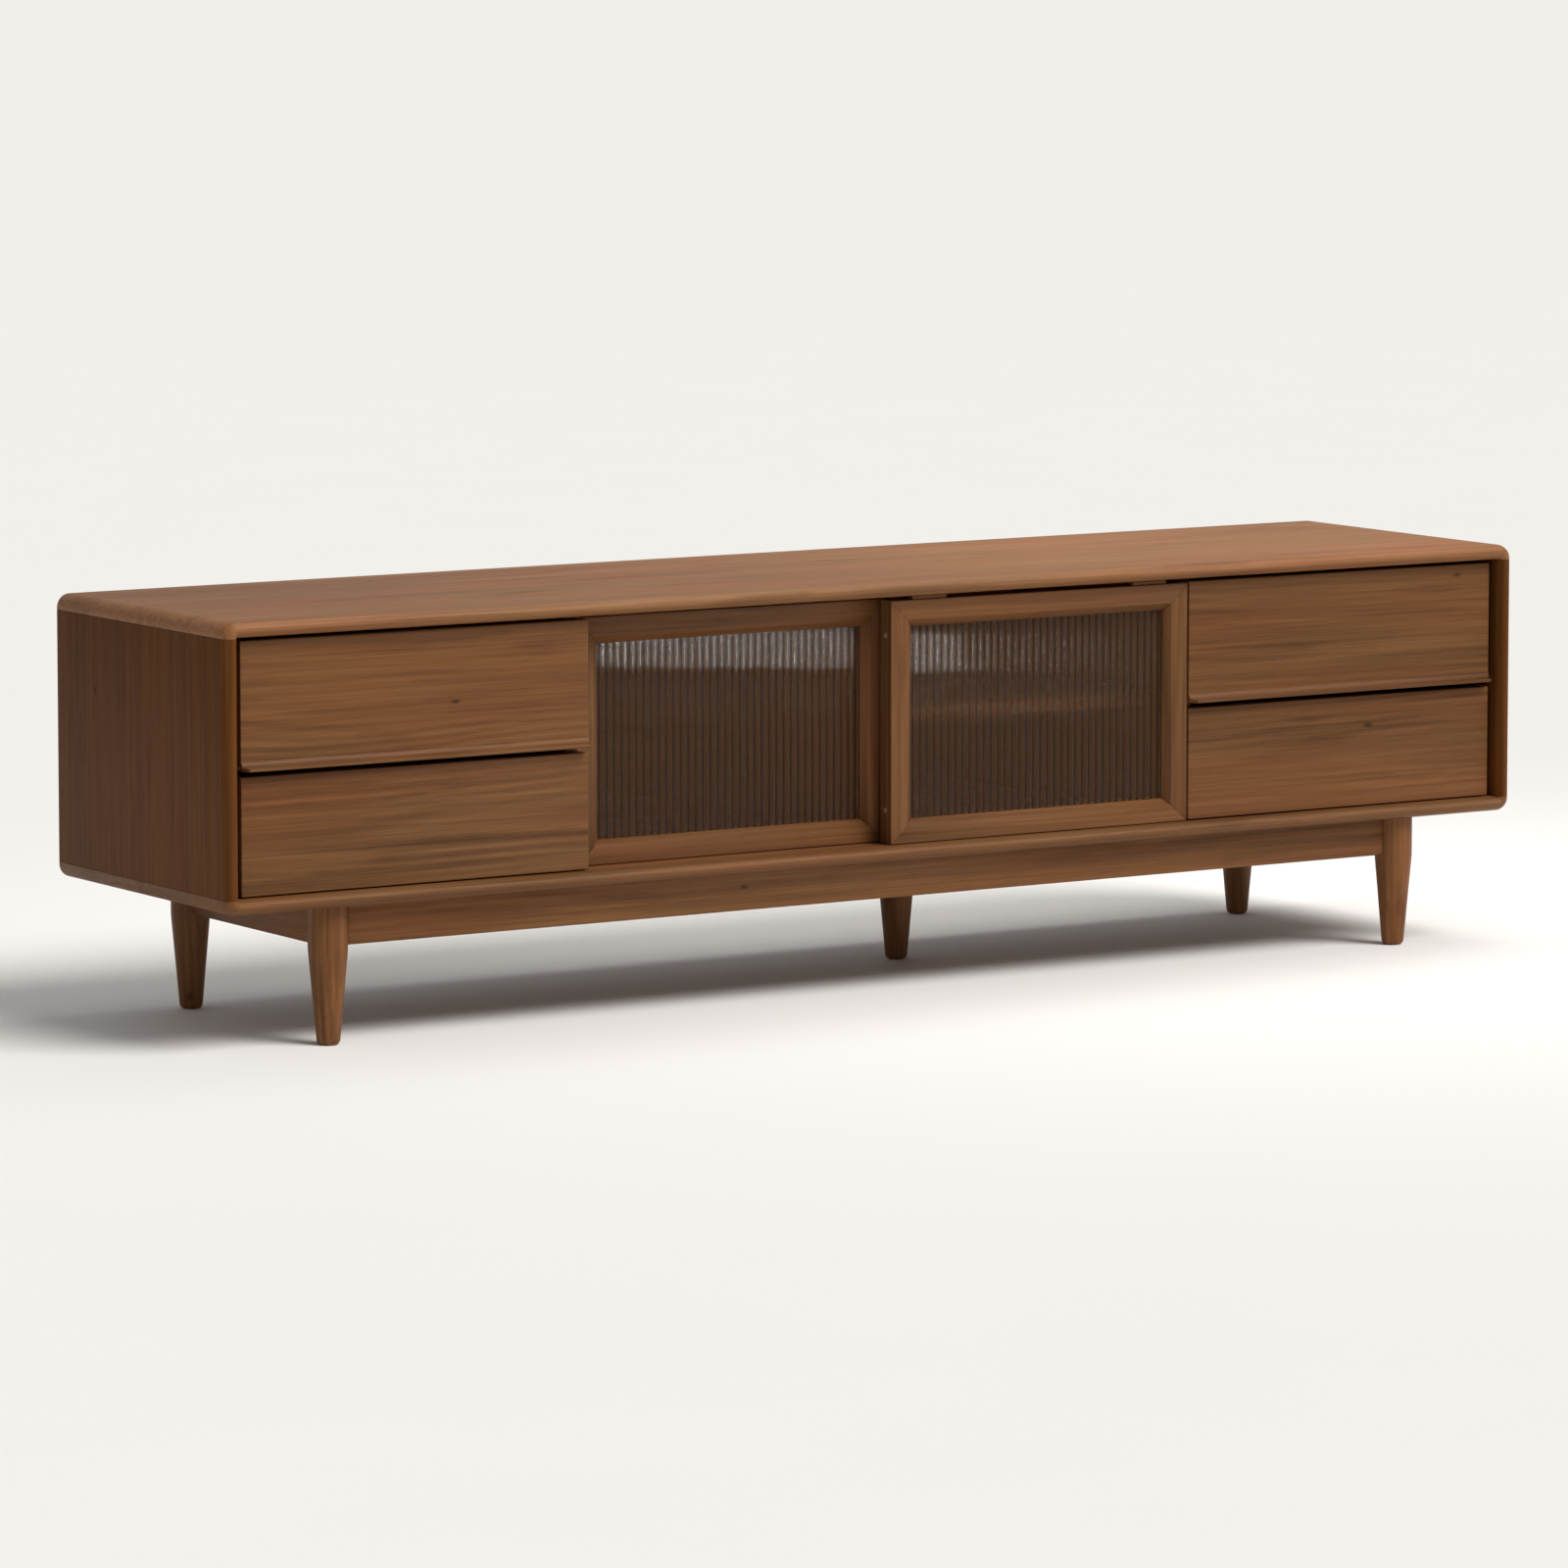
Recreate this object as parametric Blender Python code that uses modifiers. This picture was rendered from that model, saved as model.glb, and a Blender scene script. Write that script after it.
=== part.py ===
"""A low media cabinet in solid wood: a case with a rounded front edge on turned legs, two drawers at
each end, and two sliding doors with fluted glass between them.

Metres, +Z up. The origin is on the floor under the middle of the cabinet, and the front faces -Y.
"""

import math

import bmesh
import bpy
from mathutils import Matrix, Vector

# Overall sizes
WIDTH = 1.800
DEPTH = 0.410
LEG_HEIGHT = 0.160
CASE_HEIGHT = 0.330

# Case boards
BOARD = 0.018
NOSE_DEPTH = 0.0145
NOSE_STEPS = 12
CORNER_RADIUS = 0.016
CORNER_STEPS = 8
BACK_THICKNESS = 0.009
BACK_RECESS = 0.004
SHELF_THICKNESS = 0.016
SHELF_TOP = 0.151  # above the bottom board
PARTITION_SETBACK = 0.010  # behind the rear door
SHELF_SETBACK = 0.020  # behind the rear door
CABLE_HOLE_RADIUS = 0.025
CABLE_HOLE_DROP = 0.045  # of the hole's centre below the top board
JOINT_GAP = 0.0003  # between pieces that are fixed face to face
STOP_GAP = 0.0005  # between a drawer front and the divider behind it

# Drawers
DRAWER_FRONT_WIDTH = 0.453
DRAWER_FRONT_THICKNESS = 0.020
LOWER_FRONT_HEIGHT = 0.1352
DRAWER_SIDE_REVEAL = 0.0077  # between a front and the side panel
DRAWER_TOP_REVEAL = 0.004
DRAWER_BOTTOM_REVEAL = 0.0015
FINGER_GAP = 0.0068  # between the lower front and the lip above it
LIP_REACH = 0.0135  # how far the lip stands out of the front
LIP_HEIGHT = 0.0115
LIP_NOSE = 0.0035  # height of the lip's foremost edge above its underside
COVE_HALF_WIDTH = 0.010
COVE_DEPTH = 0.0065
COVE_STEPS = 8
COVE_SETBACK = 0.0015  # of the cove's middle behind the front's face
LIP_CHAMFER = 0.0015  # along the lip's underside
DRAWER_WALL = 0.012
DRAWER_BOX_HEIGHT = 0.105
DRAWER_BOX_LIFT = 0.010  # of the box above its front's lower edge
DRAWER_BACK_CLEARANCE = 0.040
DRAWER_BOTTOM = 0.005
BOTTOM_GROOVE_LIFT = 0.010  # of the groove above the box's lower edge
BOTTOM_GROOVE_DEPTH = 0.006
BOTTOM_GROOVE_PLAY = 0.0006

# Drawer runners: a steel channel on each side of each drawer
RUNNER_SPACE = 0.013  # between a drawer side and the board beside it
RUNNER_CLEARANCE = 0.001  # between a runner and the drawer side
RUNNER_LENGTH = 0.300
RUNNER_HEIGHT = 0.035
RUNNER_STEEL = 0.0015
RUNNER_LIP = 0.006
RUNNER_SETBACK = 0.004  # behind the drawer front

# Sliding doors
DOOR_THICKNESS = 0.024
DOOR_SIDE_GAP = 0.002
DOOR_OVERLAP = 0.0134
DOOR_TOP_GAP = 0.005
DOOR_BOTTOM_GAP = 0.0005
DOOR_TRACK_GAP = 0.0075  # between the two doors, front to back
STILE_WIDTH = 0.032
TOP_RAIL_WIDTH = 0.032
BOTTOM_RAIL_WIDTH = 0.0285
FRAME_BEVEL = 0.008
GLASS_THICKNESS = 0.005
GLASS_DEPTH = 0.0093  # of the glass behind the door's face
GLASS_GROOVE = 0.006
GLASS_PLAY = 0.0006

# Door guides: a block on a door's top edge, with a tongue in a groove under the top board
GUIDE_LENGTH = 0.048
GUIDE_INSET = 0.031  # from the door's end
GUIDE_WIDTH = 0.020
GUIDE_TONGUE_WIDTH = 0.008
GUIDE_TONGUE_HEIGHT = 0.006
GROOVE_CLEARANCE = 0.001

# Base
LEG_RADIUS = 0.023
LEG_INSET_X = 0.150
LEG_INSET_Y = 0.041
LEG_FLOOR_RADIUS = 0.0131
LEG_FOOT_ROUNDING = 0.006
LEG_FOOT_STEPS = 4
LEG_SIDES = 24
APRON_HEIGHT = 0.047
APRON_THICKNESS = 0.017
APRON_FACE_OFFSET = 0.008  # of the apron's outer face beyond the legs' axes
CENTRE_LEG_X = 0.165
CENTRE_LEG_Y = 0.060
SOCKET_SIDES = 32

# Places that follow from the sizes above
LEFT, RIGHT = -WIDTH / 2, WIDTH / 2
FRONT, BACK = -DEPTH / 2, DEPTH / 2
FACE = FRONT + NOSE_DEPTH  # the plane of the drawer fronts and the front door
FLOOR_OF_CASE = LEG_HEIGHT + BOARD
ROOF_OF_CASE = LEG_HEIGHT + CASE_HEIGHT - BOARD
BACK_PANEL_FRONT = BACK - BACK_RECESS - BACK_THICKNESS
DIVIDER_FRONT = FACE + DRAWER_FRONT_THICKNESS + STOP_GAP
BAY_HALF_WIDTH = WIDTH / 2 - BOARD - DRAWER_SIDE_REVEAL - DRAWER_FRONT_WIDTH  # behind the doors
DOOR_WIDTH = BAY_HALF_WIDTH - DOOR_SIDE_GAP + DOOR_OVERLAP / 2
DOOR_FLOOR = FLOOR_OF_CASE + DOOR_BOTTOM_GAP
DOOR_ROOF = ROOF_OF_CASE - DOOR_TOP_GAP
REAR_DOOR_FACE = FACE + DOOR_THICKNESS + DOOR_TRACK_GAP
REAR_DOOR_BACK = REAR_DOOR_FACE + DOOR_THICKNESS

# Colours (linear), roughness and metallic value of each finish
WALNUT = ((0.190, 0.092, 0.042), 0.45, 0.0)
LIGHT_WOOD = ((0.420, 0.290, 0.170), 0.60, 0.0)
FLUTED_GLASS = ((0.700, 0.680, 0.620), 0.08, 0.0)
STEEL = ((0.550, 0.550, 0.560), 0.30, 1.0)

# Rotations that lay an extrusion along an axis. Its outline is (Y, Z), (X, Z) or (X, Y).
ALONG_X = Matrix(((0, 0, 1), (1, 0, 0), (0, 1, 0)))
ALONG_Y = Matrix(((1, 0, 0), (0, 0, -1), (0, 1, 0)))
ALONG_Z = Matrix.Identity(3)


def clear_scene():
    for obj in list(bpy.data.objects):
        bpy.data.objects.remove(obj, do_unlink=True)


def new_collection(name):
    collection = bpy.data.collections.new(name)
    bpy.context.scene.collection.children.link(collection)
    return collection


clear_scene()
CABINET = new_collection("media_cabinet")
CUTTERS = new_collection("cutters")


def finish(obj, look):
    """Gives the object a Principled BSDF material of its own."""
    colour, roughness, metallic = look
    material = bpy.data.materials.new(obj.name + "_finish")
    material.use_nodes = True
    shader = material.node_tree.nodes["Principled BSDF"]
    shader.inputs["Base Color"].default_value = (*colour, 1)
    shader.inputs["Roughness"].default_value = roughness
    shader.inputs["Metallic"].default_value = metallic
    obj.data.materials.append(material)
    return obj


def as_cutter(obj):
    CABINET.objects.unlink(obj)
    CUTTERS.objects.link(obj)
    obj.hide_render = True
    obj.display_type = "WIRE"
    return obj


def boolean(obj, cutter, operation="DIFFERENCE"):
    modifier = obj.modifiers.new(cutter.name, "BOOLEAN")
    modifier.operation = operation
    modifier.object = cutter


def ride(pieces, name, place):
    """Parents the pieces of one moving body to an empty at the given place."""
    carrier = bpy.data.objects.new(name, None)
    carrier.location = place
    CABINET.objects.link(carrier)
    bpy.context.view_layer.update()
    for piece in pieces:
        piece.parent = carrier
        piece.matrix_parent_inverse = carrier.matrix_world.inverted()


def from_bmesh(name, shape):
    mesh = bpy.data.meshes.new(name)
    shape.to_mesh(mesh)
    shape.free()
    obj = bpy.data.objects.new(name, mesh)
    CABINET.objects.link(obj)
    return obj


def box(name, low, high):
    """A board or block between two opposite corners."""
    low, high = Vector(low), Vector(high)
    shape = bmesh.new()
    bmesh.ops.create_cube(shape, size=1)
    bmesh.ops.scale(shape, vec=high - low, verts=shape.verts)
    obj = from_bmesh(name, shape)
    obj.location = (low + high) / 2
    return obj


def cylinder(name, radius, height, place, turn=ALONG_Z):
    """A round cutter whose flats lie outside the radius."""
    shape = bmesh.new()
    outer = radius / math.cos(math.pi / SOCKET_SIDES)
    bmesh.ops.create_cone(
        shape, cap_ends=True, segments=SOCKET_SIDES, radius1=outer, radius2=outer, depth=height
    )
    obj = from_bmesh(name, shape)
    obj.location = place
    obj.rotation_euler = turn.to_euler()
    return as_cutter(obj)


def extrusion(name, outline, length, place, turn):
    """A flat outline as a filled curve, extruded by half the length each way and made a mesh."""
    curve = bpy.data.curves.new(name, "CURVE")
    curve.dimensions = "2D"
    curve.fill_mode = "BOTH"
    curve.extrude = length / 2
    spline = curve.splines.new("POLY")
    spline.points.add(len(outline) - 1)
    for point, (across, up) in zip(spline.points, outline):
        point.co = (across, up, 0, 1)
    spline.use_cyclic_u = True
    guide = bpy.data.objects.new(name + "_outline", curve)
    CABINET.objects.link(guide)
    graph = bpy.context.evaluated_depsgraph_get()
    mesh = bpy.data.meshes.new_from_object(guide.evaluated_get(graph))
    bpy.data.objects.remove(guide)
    shape = bmesh.new()
    shape.from_mesh(mesh)
    bmesh.ops.remove_doubles(shape, verts=shape.verts, dist=1e-6)
    bmesh.ops.recalc_face_normals(shape, faces=shape.faces)
    bpy.data.meshes.remove(mesh)
    obj = from_bmesh(name, shape)
    obj.location = place
    obj.rotation_euler = turn.to_euler()
    return obj


def arc(centre, radii, start, end, steps):
    """Points on an ellipse from one angle to another, in degrees, both ends included."""
    angles = [math.radians(start + (end - start) * i / steps) for i in range(steps + 1)]
    return [
        (centre[0] + radii[0] * math.cos(a), centre[1] + radii[1] * math.sin(a)) for a in angles
    ]


def nosed_outline(back):
    """Section of a case board, (depth, height above its middle), with a half-ellipse front edge."""
    nose = arc((FACE, 0), (NOSE_DEPTH, BOARD / 2), 90, 270, NOSE_STEPS)
    return [*nose, (back, -BOARD / 2), (back, BOARD / 2)]


def case_envelope():
    """The case's front elevation with its rounded corners, through its whole depth."""
    half_height = CASE_HEIGHT / 2
    x, z = RIGHT - CORNER_RADIUS, half_height - CORNER_RADIUS
    radii = (CORNER_RADIUS, CORNER_RADIUS)
    outline = [
        *arc((x, z), radii, 0, 90, CORNER_STEPS),
        *arc((-x, z), radii, 90, 180, CORNER_STEPS),
        *arc((-x, -z), radii, 180, 270, CORNER_STEPS),
        *arc((x, -z), radii, 270, 360, CORNER_STEPS),
    ]
    place = (0, 0, LEG_HEIGHT + half_height)
    return as_cutter(extrusion("case_envelope", outline, 2 * DEPTH, place, ALONG_Y))


def guide_groove(name, door_face):
    """The routed groove that a door's guide tongues run in."""
    middle = door_face + DOOR_THICKNESS / 2
    half = GUIDE_TONGUE_WIDTH / 2 + GROOVE_CLEARANCE
    reach = BAY_HALF_WIDTH - DOOR_SIDE_GAP
    top = DOOR_ROOF + DOOR_TOP_GAP + GUIDE_TONGUE_HEIGHT + GROOVE_CLEARANCE
    low = (-reach, middle - half, ROOF_OF_CASE - BOARD)
    return as_cutter(box(name, low, (reach, middle + half, top)))


def top_and_bottom_panels():
    envelope = case_envelope()
    bottom_middle = LEG_HEIGHT + BOARD / 2
    top_middle = LEG_HEIGHT + CASE_HEIGHT - BOARD / 2
    outline = nosed_outline(BACK)
    bottom = extrusion("bottom_panel", outline, WIDTH, (0, 0, bottom_middle), ALONG_X)
    top = extrusion("top_panel", outline, WIDTH, (0, 0, top_middle), ALONG_X)
    for panel in (bottom, top):
        boolean(panel, envelope, "INTERSECT")
    boolean(top, guide_groove("front_guide_groove", FACE))
    boolean(top, guide_groove("rear_guide_groove", REAR_DOOR_FACE))
    finish(bottom, WALNUT)
    finish(top, WALNUT)


def side_panels():
    height = ROOF_OF_CASE - FLOOR_OF_CASE - 2 * JOINT_GAP
    middle = (ROOF_OF_CASE + FLOOR_OF_CASE) / 2
    outline = [(across, depth) for depth, across in nosed_outline(BACK)]
    for side, x in (("left", LEFT + BOARD / 2), ("right", RIGHT - BOARD / 2)):
        finish(extrusion("side_panel_" + side, outline, height, (x, 0, middle), ALONG_Z), WALNUT)


def upright(name, low_x, high_x, front):
    """A board that stands between the bottom and top boards and ends at the back panel."""
    low = (low_x, front, FLOOR_OF_CASE + JOINT_GAP)
    high = (high_x, BACK_PANEL_FRONT - JOINT_GAP, ROOF_OF_CASE - JOINT_GAP)
    return finish(box(name, low, high), WALNUT)


def back_panel():
    low = (LEFT + BOARD + JOINT_GAP, BACK_PANEL_FRONT, FLOOR_OF_CASE + JOINT_GAP)
    high = (RIGHT - BOARD - JOINT_GAP, BACK - BACK_RECESS, ROOF_OF_CASE - JOINT_GAP)
    panel = finish(box("back_panel", low, high), WALNUT)
    height = ROOF_OF_CASE - CABLE_HOLE_DROP
    for side, x in (("left", -BAY_HALF_WIDTH / 2), ("right", BAY_HALF_WIDTH / 2)):
        place = (x, BACK - BACK_RECESS - BACK_THICKNESS / 2, height)
        hole = cylinder("cable_hole_" + side, CABLE_HOLE_RADIUS, 4 * BACK_THICKNESS, place, ALONG_Y)
        boolean(panel, hole)


def shelf():
    """The shelf of the right-hand bay, between the centre partition and the right divider."""
    top = FLOOR_OF_CASE + SHELF_TOP
    low = (BOARD / 2 + JOINT_GAP, REAR_DOOR_BACK + SHELF_SETBACK, top - SHELF_THICKNESS)
    high = (BAY_HALF_WIDTH - JOINT_GAP, BACK_PANEL_FRONT - JOINT_GAP, top)
    finish(box("shelf", low, high), WALNUT)


def case():
    top_and_bottom_panels()
    side_panels()
    back_panel()
    upright("divider_left", -BAY_HALF_WIDTH - BOARD, -BAY_HALF_WIDTH, DIVIDER_FRONT)
    upright("divider_right", BAY_HALF_WIDTH, BAY_HALF_WIDTH + BOARD, DIVIDER_FRONT)
    upright("centre_partition", -BOARD / 2, BOARD / 2, REAR_DOOR_BACK + PARTITION_SETBACK)
    shelf()


def leg(name, x, y):
    """A turned leg: straight where the aprons meet it, then a taper to a rounded foot."""
    taper_top = LEG_HEIGHT - APRON_HEIGHT
    slope = (LEG_RADIUS - LEG_FLOOR_RADIUS) / taper_top
    rounding = LEG_FOOT_ROUNDING
    foot_x = LEG_FLOOR_RADIUS + slope * rounding - rounding
    profile = [
        (0, LEG_HEIGHT - JOINT_GAP),
        (LEG_RADIUS, LEG_HEIGHT - JOINT_GAP),
        (LEG_RADIUS, taper_top),
        *arc((foot_x, rounding), (rounding, rounding), 0, -90, LEG_FOOT_STEPS),
        (0, 0),
    ]
    mesh = bpy.data.meshes.new(name)
    edges = [(i, i + 1) for i in range(len(profile) - 1)]
    mesh.from_pydata([(r, 0, z) for r, z in profile], edges, [])
    obj = bpy.data.objects.new(name, mesh)
    obj.location = (x, y, 0)
    CABINET.objects.link(obj)
    turning = obj.modifiers.new("turning", "SCREW")
    turning.steps = turning.render_steps = LEG_SIDES
    turning.use_merge_vertices = True
    turning.merge_threshold = 0.00001
    return finish(obj, WALNUT)


def base():
    leg_x, front_y, back_y = WIDTH / 2 - LEG_INSET_X, FRONT + LEG_INSET_Y, BACK - LEG_INSET_Y
    sockets = {}
    for row, y in (("front", front_y), ("back", back_y)):
        for side, x in (("left", -leg_x), ("right", leg_x)):
            leg(f"leg_{row}_{side}", x, y)
            place = (x, y, LEG_HEIGHT / 2)
            name = f"leg_socket_{row}_{side}"
            sockets[row, side] = cylinder(name, LEG_RADIUS + JOINT_GAP, LEG_HEIGHT, place)
    leg("centre_leg", CENTRE_LEG_X, CENTRE_LEG_Y)

    low_z, high_z = LEG_HEIGHT - APRON_HEIGHT, LEG_HEIGHT - JOINT_GAP
    front_face, back_face = front_y - APRON_FACE_OFFSET, back_y + APRON_FACE_OFFSET
    spans = {"front": (front_face, front_face + APRON_THICKNESS)}
    spans["back"] = (back_face - APRON_THICKNESS, back_face)
    for row, (low_y, high_y) in spans.items():
        apron = box("apron_" + row, (-leg_x, low_y, low_z), (leg_x, high_y, high_z))
        boolean(apron, sockets[row, "left"])
        boolean(apron, sockets[row, "right"])
        finish(apron, WALNUT)
    for side, x in (("left", -leg_x), ("right", leg_x)):
        low = (x - APRON_THICKNESS / 2, front_y, low_z)
        apron = box("apron_" + side, low, (x + APRON_THICKNESS / 2, back_y, high_z))
        boolean(apron, sockets["front", side])
        boolean(apron, sockets["back", side])
        finish(apron, WALNUT)


def lipped_outline(low, high):
    """Section of an upper drawer front: a hollow flare out to the lip, and a finger cove under it."""
    edge = FACE - LIP_REACH
    flare = arc((edge, low + LIP_HEIGHT), (LIP_REACH, LIP_HEIGHT - LIP_NOSE), 0, -90, COVE_STEPS)
    radius = (COVE_HALF_WIDTH**2 + COVE_DEPTH**2) / (2 * COVE_DEPTH)
    half_angle = math.degrees(math.asin(COVE_HALF_WIDTH / radius))
    cove_y = FACE + COVE_SETBACK
    centre = (cove_y, low + COVE_DEPTH - radius)
    cove = arc(centre, (radius, radius), 90 + half_angle, 90 - half_angle, COVE_STEPS)
    back = FACE + DRAWER_FRONT_THICKNESS
    return [(FACE, high), *flare, (edge + LIP_CHAMFER, low), *cove, (back, low), (back, high)]


def drawer_front(name, x, low, high, lipped):
    if lipped:
        outline = lipped_outline(low, high)
        front = extrusion(name, outline, DRAWER_FRONT_WIDTH, (x, 0, 0), ALONG_X)
    else:
        half = DRAWER_FRONT_WIDTH / 2
        front = box(name, (x - half, FACE, low), (x + half, FACE + DRAWER_FRONT_THICKNESS, high))
    return finish(front, WALNUT)


def drawer_side(name, outer, inward, low, start, end):
    """A drawer side with the groove that holds the bottom. inward is +1 or -1 along X."""
    groove_low = low + BOTTOM_GROOVE_LIFT
    groove_high = groove_low + DRAWER_BOTTOM + BOTTOM_GROOVE_PLAY
    inner = outer + inward * DRAWER_WALL
    groove = inner - inward * BOTTOM_GROOVE_DEPTH
    high = low + DRAWER_BOX_HEIGHT
    outline = [
        (outer, low),
        (inner, low),
        (inner, groove_low),
        (groove, groove_low),
        (groove, groove_high),
        (inner, groove_high),
        (inner, high),
        (outer, high),
    ]
    side = extrusion(name, outline, end - start, (0, (start + end) / 2, 0), ALONG_Y)
    return finish(side, LIGHT_WOOD)


def drawer(name, x, low, high, lipped):
    """One drawer: its front, a box of two sides and a back, and a bottom that slides in grooves."""
    front = drawer_front(name + "_front", x, low, high, lipped)
    box_low = low + DRAWER_BOX_LIFT
    box_high = box_low + DRAWER_BOX_HEIGHT
    start = FACE + DRAWER_FRONT_THICKNESS + JOINT_GAP
    end = BACK_PANEL_FRONT - DRAWER_BACK_CLEARANCE
    bay_width = DRAWER_FRONT_WIDTH + DRAWER_SIDE_REVEAL - BOARD
    half = bay_width / 2 - RUNNER_SPACE
    middle = box_middle(x)
    left = drawer_side(name + "_side_left", middle - half, 1, box_low, start, end)
    right = drawer_side(name + "_side_right", middle + half, -1, box_low, start, end)

    inner = half - DRAWER_WALL
    bottom_low = box_low + BOTTOM_GROOVE_LIFT + BOTTOM_GROOVE_PLAY / 2
    bottom_high = bottom_low + DRAWER_BOTTOM
    bottom_half = inner + BOTTOM_GROOVE_DEPTH - JOINT_GAP
    bottom_start = start - BOTTOM_GROOVE_DEPTH
    bottom = box(
        name + "_bottom",
        (middle - bottom_half, bottom_start, bottom_low),
        (middle + bottom_half, end, bottom_high),
    )
    groove_half = bottom_half + JOINT_GAP
    groove = box(
        name + "_bottom_groove",
        (middle - groove_half, bottom_start - JOINT_GAP, bottom_low - JOINT_GAP),
        (middle + groove_half, end, bottom_high + JOINT_GAP),
    )
    boolean(front, as_cutter(groove))
    back_half = inner - JOINT_GAP
    back = box(
        name + "_back",
        (middle - back_half, end - DRAWER_WALL, bottom_high + JOINT_GAP),
        (middle + back_half, end, box_high),
    )
    for piece in (bottom, back):
        finish(piece, LIGHT_WOOD)
    ride([front, left, right, bottom, back], name, (x, FACE, (low + high) / 2))


def box_middle(x):
    """Middle of the space between a side panel and a divider, beside the front's own middle."""
    outward = math.copysign(1, x)
    return x + outward * (DRAWER_SIDE_REVEAL + BOARD) / 2


def runner_outline(height, hand):
    """Section of a runner, (X from the board it's fixed to, Z): a channel open towards the drawer."""
    depth = RUNNER_SPACE - RUNNER_CLEARANCE - JOINT_GAP
    half, steel = height / 2, RUNNER_STEEL
    points = [
        (0, -half),
        (depth, -half),
        (depth, -half + RUNNER_LIP),
        (depth - steel, -half + RUNNER_LIP),
        (depth - steel, -half + steel),
        (steel, -half + steel),
    ]
    mirrored = [(x, -z) for x, z in reversed(points)]
    return [(hand * x, z) for x, z in points + mirrored]


def runners(name, x, box_low):
    """The two channels of one drawer, on the side panel and on the divider."""
    half = (DRAWER_FRONT_WIDTH + DRAWER_SIDE_REVEAL - BOARD) / 2
    start = FACE + DRAWER_FRONT_THICKNESS + RUNNER_SETBACK
    z = box_low + DRAWER_BOX_HEIGHT / 2
    y = start + RUNNER_LENGTH / 2
    for side, hand in (("left", 1), ("right", -1)):
        outline = runner_outline(RUNNER_HEIGHT, hand)
        place = (box_middle(x) - hand * (half - JOINT_GAP), y, z)
        finish(extrusion(f"{name}_runner_{side}", outline, RUNNER_LENGTH, place, ALONG_Y), STEEL)


def drawers():
    lower_low = FLOOR_OF_CASE + DRAWER_BOTTOM_REVEAL
    lower_high = lower_low + LOWER_FRONT_HEIGHT
    upper_low = lower_high + FINGER_GAP
    upper_high = ROOF_OF_CASE - DRAWER_TOP_REVEAL
    x = BAY_HALF_WIDTH + DRAWER_FRONT_WIDTH / 2
    for side, place in (("left", -x), ("right", x)):
        drawer("drawer_upper_" + side, place, upper_low, upper_high, True)
        drawer("drawer_lower_" + side, place, lower_low, lower_high, False)
        runners("drawer_upper_" + side, place, upper_low + DRAWER_BOX_LIFT)
        runners("drawer_lower_" + side, place, lower_low + DRAWER_BOX_LIFT)


def frame_outline(width):
    """Section of a door member, (inward from the door's edge, back from its face)."""
    groove = width - GLASS_GROOVE
    glass_front = GLASS_DEPTH - GLASS_PLAY / 2
    glass_back = GLASS_DEPTH + GLASS_THICKNESS + GLASS_PLAY / 2
    return [
        (0, 0),
        (width - FRAME_BEVEL, 0),
        (width, FRAME_BEVEL),
        (width, glass_front),
        (groove, glass_front),
        (groove, glass_back),
        (width, glass_back),
        (width, DOOR_THICKNESS),
        (0, DOOR_THICKNESS),
    ]


def frame_member(name, width, length, low_width, high_width, place, turn_degrees):
    """A stile or rail, mitred where it meets members of the widths given for its two ends."""
    turn = Matrix.Rotation(math.radians(turn_degrees), 3, "Y")
    obj = extrusion(name, frame_outline(width), length, place, turn)
    for vertex in obj.data.vertices:
        inward = vertex.co.x
        if vertex.co.z < 0:
            vertex.co.z = -length / 2 + inward * low_width / width + JOINT_GAP / 2
        else:
            vertex.co.z = length / 2 - inward * high_width / width - JOINT_GAP / 2
    return finish(obj, WALNUT)


def glass_pane(name, low_x, high_x, face):
    reach = GLASS_GROOVE - JOINT_GAP
    low = (
        low_x + STILE_WIDTH - reach,
        face + GLASS_DEPTH,
        DOOR_FLOOR + BOTTOM_RAIL_WIDTH - reach,
    )
    high = (
        high_x - STILE_WIDTH + reach,
        face + GLASS_DEPTH + GLASS_THICKNESS,
        DOOR_ROOF - TOP_RAIL_WIDTH + reach,
    )
    return finish(box(name, low, high), FLUTED_GLASS)


def guide_block(name, low_x, face):
    """A guide: a block on the door's top edge with a narrower tongue that stands in the groove."""
    middle = face + DOOR_THICKNESS / 2
    base_low, base_high = DOOR_ROOF + JOINT_GAP, ROOF_OF_CASE - JOINT_GAP
    tongue_top = ROOF_OF_CASE + GUIDE_TONGUE_HEIGHT
    wide, narrow = GUIDE_WIDTH / 2, GUIDE_TONGUE_WIDTH / 2
    outline = [
        (middle - wide, base_low),
        (middle + wide, base_low),
        (middle + wide, base_high),
        (middle + narrow, base_high),
        (middle + narrow, tongue_top),
        (middle - narrow, tongue_top),
        (middle - narrow, base_high),
        (middle - wide, base_high),
    ]
    place = (low_x + GUIDE_LENGTH / 2, 0, 0)
    return finish(extrusion(name, outline, GUIDE_LENGTH, place, ALONG_X), WALNUT)


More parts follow.
